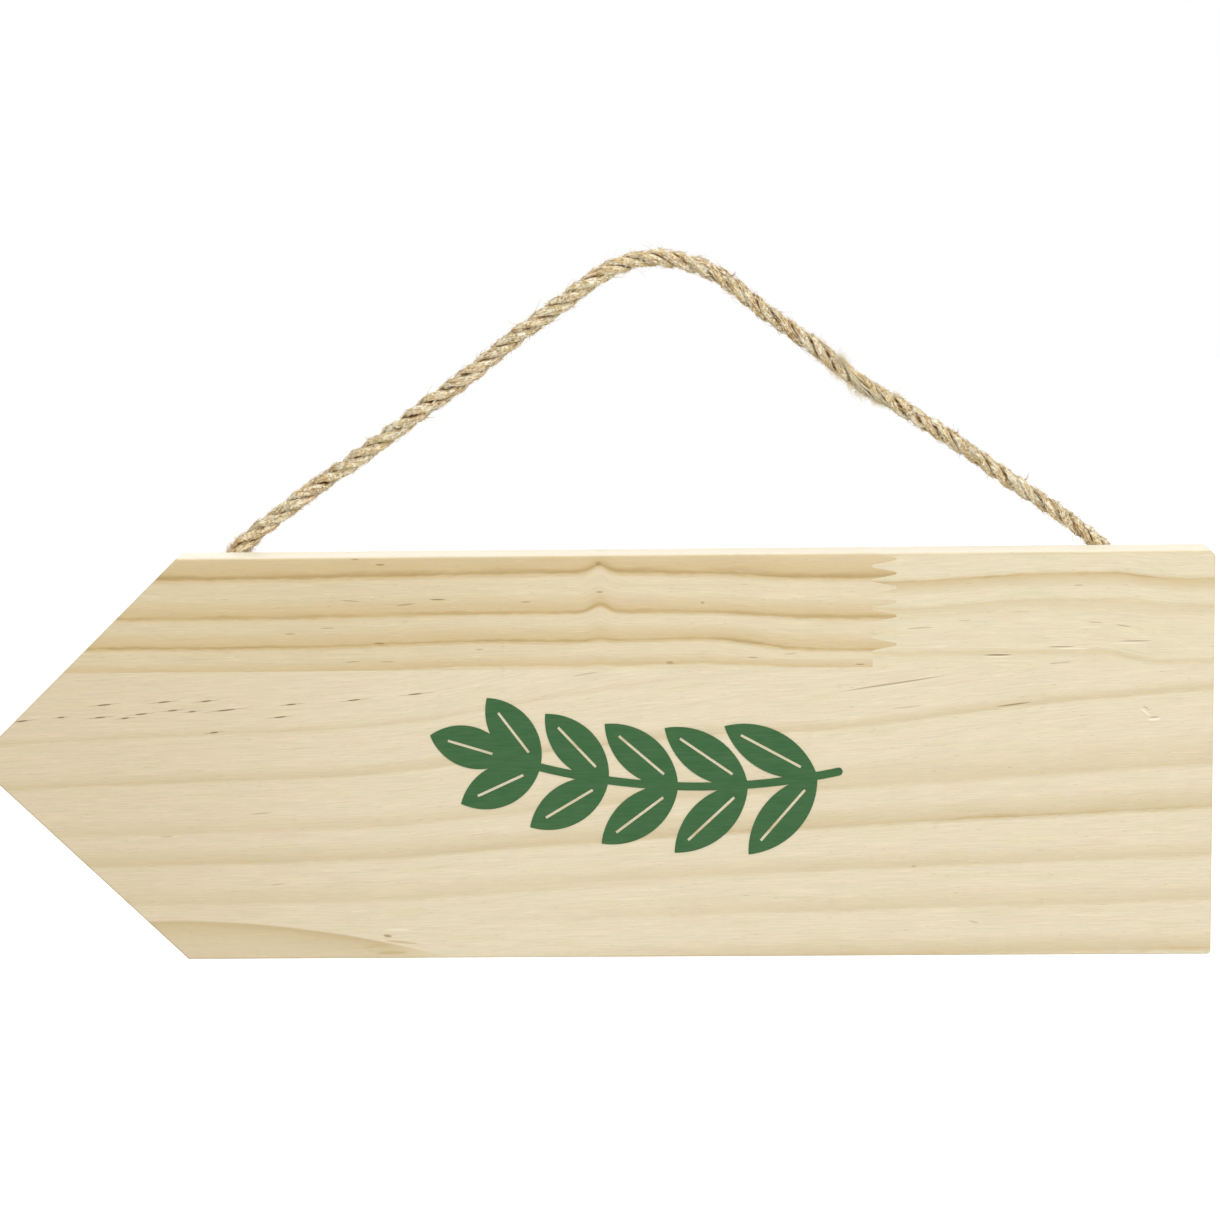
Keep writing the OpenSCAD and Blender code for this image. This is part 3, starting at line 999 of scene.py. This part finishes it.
LOWER_PITCH = [
    (297.7, 42.4, 19, 0.3, 0.146, 0.5), (302, 50.1, 6, 0.25, 0.1, 0.3), (336, 49.5, 6.5, 0.3, 0.127, 0.6),
    (381, 54.0, 1.7, 0.3, 0.0, 0.45), (378.4, 50.9, 1.2, 0.3, -0.6, 0.35),
    (93.1, 83.5, 4.0, 0.22, 0.08, 0.35), (97.9, 107.0, 3.0, 0.22, 0.08, 0.3),
    (198.8, 38.6, 5.0, 0.25, 0.15, 0.35), (304.1, 102.3, 1.0, 0.4, 0.0, 0.3),
    (323.4, 120.8, 2.0, 0.4, -0.2, 0.25), (62.1, 91.0, 2.5, 0.22, 0.05, 0.3),
]
LOWER_KNOTS = [
    (133.3, 124.4, 1.6, 0.6, -0.1, 0.9), (134.5, 130.0, 6.0, 0.8, 0.05, 0.7),
    (138.0, 126.5, 6.0, 0.5, -0.1, 0.5), (129.5, 127.8, 5.0, 0.5, 0.1, 0.5),
]
LOWER_TORN = [
    (136.5, 122.4, 5.0, 0.6, 0.0, 0.4), (378.3, 52.4, 2.0, 0.4, -0.75, 0.9),
    (381, 54.7, 2.4, 0.45, 0.05, 0.95), (336, 50.4, 6, 0.2, 0.127, 0.35),
    (298, 43.2, 16, 0.22, 0.146, 0.3), (390, 57.5, 6, 0.2, 0.0, 0.4),
]


def lower_finish():
    pine = Pine("wide_pine")
    along, drop = pine.along, pine.drop
    slow = pine.grain(pine.spot, (70, 40, 30), detail=1.0) - 0.5
    quick = pine.grain(pine.spot, (14, 5, 4), detail=2.0) - 0.5
    climb = (along - LEVEL_AT) * RING_SLOPE - along.hump(130, 60) * 2
    climb = climb + along.over(0, 80, 1.1, 0) - along.hump(135, 35) * 0.5
    measure = (drop + climb * (1 + SLOPE_RING / RING_FAN)) / (climb / RING_FAN + 1)
    measure = measure - along.hump(282, 38) * drop.over(58, 72, 2.2, 0)
    measure = measure + slow * 1.2 + quick * 0.6 + pine.depth * 0.3
    ragged = pine.ragged(measure)
    left = pine.late_wood(ragged, LEFT_BANDS)
    right = pine.late_wood(ragged, RIGHT_BANDS)
    rightwards = along.over(130, 290)
    late = left * (1 - rightwards) + right * rightwards
    late = late * (0.65 + 0.7 * pine.grain(pine.rings, (40, 20, 5), detail=2.0))
    from_wedge = along - WEDGE_FROM
    below_wedge = drop - WEDGE_TOP - from_wedge * from_wedge * WEDGE_BEND + quick * 0.6
    wedge = below_wedge.over(-0.3, 0.4) * below_wedge.over(0, 8, 0.82, 0.4) * along.over(130, 160, 1, 0)
    late = late.larger(wedge)
    cores = [(x, down, half, CORE_HALF_HEIGHT, DASH_RISE, CORE_DARK) for x, down, half in DASHES]
    tails = [(x, down, TAIL_STRETCH * half, TAIL_HALF_HEIGHT, DASH_RISE, TAIL_DARK)
             for x, down, half in DASHES]
    pitch = pine.marks(cores + tails + LOWER_PITCH)
    pale = pine.mix(along.over(20, 190), LOWER_TIP, LOWER_PALE)
    pale = pine.mix(pine.marks(LOWER_KNOTS), pale, KNOT)
    return planed_pine(pine, pale, late, pitch, pine.marks(LOWER_TORN), LOWER_LATE)


dress(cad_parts["stave_lower"], lower_finish())
print("lower stave:", len(DASHES), "resin dashes")

# %% [markdown]
# ## The green paint
# The sprig is printed in a thin coat of matt green. It follows the wood, so the grain shows through as
# faint ridges and the coat is a little thinner, and so lighter, on some of them. A plain green would
# look like a sticker, so three noises vary its colour, its roughness and its low bump.

# %% The green paint
GREEN = colour(42, 88, 44)
GREEN_THIN = colour(68, 106, 64)
PAINT_SHINE = {"Specular IOR Level": 0.3}


def paint_finish():
    paint = Finish("green_paint")
    spot = paint.place()
    ridge = paint.grain(spot, (9, 1, 0.5), detail=4.0, roughness=0.65)
    cloud = paint.grain(spot, (6, 6, 4), detail=2.0)
    speck = paint.grain(spot, (0.6, 0.6, 0.4), detail=1.0)
    thin = ridge.over(0.3, 0.75) * 0.6 + cloud.over(0.3, 0.7) * 0.25 + speck * 0.15
    base = paint.mix(thin, GREEN, GREEN_THIN)
    roughness = 0.55 + 0.12 * cloud
    return paint.finish(base, roughness, ridge * 0.05 + speck * 0.02, PAINT_SHINE)


dress(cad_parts["painted_sprig"], paint_finish())
print("the sprig is painted")

# %% [markdown]
# ## The jute
# Each strand shows its fibres as fine streaks that lie nearly along the rope, because the strands are
# twisted the other way round. The streaks read the UV map that was laid for them. Jute is blotchy:
# golden, pinkish and grey by turns. Deep between the strands, where the attribute says that a point is
# near the rope's middle, a dark brown is painted in as shade. The fibres carry a number of their own,
# from 0 to 1, that picks brown, gold, straw or cream. Jute has a slight gloss, which JUTE_SHINE gives to all
# of it.

# %% The jute
STRAW = colour(252, 236, 196)
GOLD = colour(224, 190, 122)
BROWN = colour(150, 113, 48)
ROSE = colour(246, 216, 182)
GREY = colour(206, 198, 156)
CREAM = colour(255, 251, 228)
GROOVE_SHADE = colour(104, 66, 4)
JUTE_SHINE = {"Specular IOR Level": 0.7}


def jute_finish():
    jute = Finish("jute_rope")
    fibres = jute.node("ShaderNodeTexCoord", output="UV")
    off_middle = jute.node("ShaderNodeAttribute", {"attribute_name": "off_middle"}, output="Fac")
    spot = jute.place()
    streak = jute.grain(fibres, (0.05, 0.0028, 1), detail=3.0, roughness=0.6)
    bundle = jute.grain(fibres, (0.1, 0.006, 1), detail=1.0)
    fleck = jute.grain(spot, (0.9, 0.9, 0.9), detail=2.0)
    blotch = jute.grain(spot, (2.6, 2.6, 2.6), detail=1.0)
    tint = jute.grain(spot, (5, 5, 5), detail=1.0)
    base = jute.mix(streak.over(0.38, 0.62), GOLD, STRAW)
    base = jute.mix(tint.over(0.5, 0.62) * 0.7, base, ROSE)
    base = jute.mix(tint.over(0.36, 0.48, 1, 0) * 0.6, base, GREY)
    base = jute.mix(blotch.over(0.5, 0.62) * 0.95, base, CREAM)
    base = jute.mix(bundle.over(0.36, 0.48, 1, 0) * 0.75, base, BROWN)
    base = jute.mix(fleck.over(0.36, 0.46, 1, 0) * 0.75, base, BROWN)
    base = jute.mix(fleck.over(0.54, 0.62) * 0.9, base, CREAM)
    # Painted shade: the grooves between the strands turn dark brown towards the rope's middle.
    groove_shade = off_middle.over(1.7, 2.45, 1, 0) * blotch.over(0.4, 0.6, 1, 0.3)
    base = jute.mix(groove_shade, base, GROOVE_SHADE)
    height = streak * 0.2 + bundle * 0.2 + fleck * 0.15
    return jute.finish(base, 0.65 - 0.1 * streak, height, JUTE_SHINE)


def fibre_finish():
    jute = Finish("jute_fibre")
    tone = jute.node("ShaderNodeAttribute", {"attribute_name": "tone"}, output="Fac")
    base = jute.mix(tone.over(0.05, 0.28), BROWN, GOLD)
    base = jute.mix(tone.over(0.25, 0.5), base, STRAW)
    base = jute.mix(tone.over(0.5, 0.78), base, CREAM)
    spot = jute.place()
    return jute.finish(base, 0.55, jute.grain(spot, (0.5, 0.5, 0.5)) * 0.01, JUTE_SHINE)


dress(rope_strands, jute_finish())
fibre_material = fibre_finish()
for piece in (rope_coat, rope_fuzz, rope_tuft):
    dress(piece, fibre_material)
print("the rope has its jute")

# %% [markdown]
# ## The staple wire
# Staples are bent from galvanised wire. It is bright but not polished: the zinc leaves fine drawing
# marks along the wire and dull clouds. A metal takes its look from what it reflects, so the colour
# varies only a little, and the roughness and a faint bump do the rest.

# %% The staple wire
ZINC = colour(196, 198, 202)
ZINC_DULL = colour(160, 162, 166)


def wire_finish():
    wire = Finish("staple_wire")
    spot = wire.place()
    cloud = wire.grain(spot, (1.6, 1.6, 1.6), detail=3.0)
    scratch = wire.grain(spot, (2.5, 0.2, 0.12), detail=2.0)
    base = wire.mix(cloud.over(0.35, 0.7), ZINC, ZINC_DULL)
    roughness = 0.28 + 0.3 * cloud
    return wire.finish(base, roughness, scratch * 0.02 + cloud * 0.01, {"Metallic": 1.0})


dress(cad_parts["rope_staples"], wire_finish())
print("the staples are galvanised")

# %% [markdown]
# ## Light, floor and background
# The picture is a studio shot on pure white with soft light from the front and above: the top edge of
# the board is its brightest part, lit by the lamp overhead and paler still by a painted highlight on the
# pine's upward faces. A big soft lamp stands in front, another hangs overhead and a weaker one stands
# behind for the back. The world shows the camera white, while it lights the sign at a lower strength,
# so the white background doesn't flood it. The sign hangs well above a pale floor. Lit like this the
# floor would look grey, so it glows just enough to look white, but only where it is seen, straight or in
# a reflection. The glow lights nothing else, and the sign's shadow still falls on the floor. Here lengths
# are in metres, and a lamp is written as its name, its place, its size and its watts.

# %% Light, floor and background
FLOOR_DROP = 0.25
FLOOR_SIZE = 12
FLOOR_GLOW = 0.75
FLOOR_WHITE = colour(235, 235, 235)
FLOOR_ROUGHNESS = 0.9
SKY = 0.3
LAMPS = [
    ("front_softbox", (0.6, -1.7, 1.1), 1.5, 28),
    ("top_softbox", (0.1, -0.1, 1.5), 1.8, 15),
    ("back_softbox", (-0.9, 1.9, 0.6), 1.6, 14),
]
SIGN_MIDDLE = Vector((-0.02, 0, -0.1))
SEEN_BY = ("Is Camera Ray", "Is Glossy Ray", "Is Transmission Ray")


def add_lamp(name, place, size, power):
    """A square soft lamp that faces the sign."""
    lamp = bpy.data.lights.new(name, "AREA")
    lamp.shape = "SQUARE"
    lamp.size = size
    lamp.energy = power
    made = bpy.data.objects.new(name, lamp)
    made.location = place
    made.rotation_euler = (SIGN_MIDDLE - Vector(place)).to_track_quat("-Z", "Y").to_euler()
    bpy.context.scene.collection.objects.link(made)


def seen_directly(finish):
    """1 where the camera looks or a shiny or clear surface shows, and 0 for light on the sign."""
    direct, glossy, clear = [finish.node("ShaderNodeLightPath", output=kind) for kind in SEEN_BY]
    return direct.larger(glossy).larger(clear)


for lamp in LAMPS:
    add_lamp(*lamp)

world = bpy.data.worlds.new("white_studio")
bpy.context.scene.world = world
studio = Finish(world)
strength = seen_directly(studio) * (1 - SKY) + SKY
sky = studio.node("ShaderNodeBackground", inputs={"Color": (1, 1, 1, 1), "Strength": strength})
studio.add("ShaderNodeOutputWorld", inputs={"Surface": sky})

bpy.ops.object.select_all(action="DESELECT")
floor_z = cad_box[0][2] - FLOOR_DROP
bpy.ops.mesh.primitive_plane_add(size=FLOOR_SIZE, location=(0, 0, floor_z))
floor = bpy.context.active_object
floor.name = "floor"
floor_paint = Finish("floor_white")
glow = seen_directly(floor_paint) * FLOOR_GLOW
glow_colour = floor_paint.node("ShaderNodeCombineColor", inputs={0: glow, 1: glow, 2: glow})
floor_look = {"Emission Color": glow_colour, "Emission Strength": 1.0}
dress(floor, floor_paint.finish(FLOOR_WHITE, FLOOR_ROUGHNESS, 0.0, floor_look))
print(f"floor at {floor_z / MM:.0f} mm")

# %% [markdown]
# ## Colour management
# The Standard view shows a colour as it is written.

# %% Colour management
bpy.context.scene.view_settings.view_transform = "Standard"
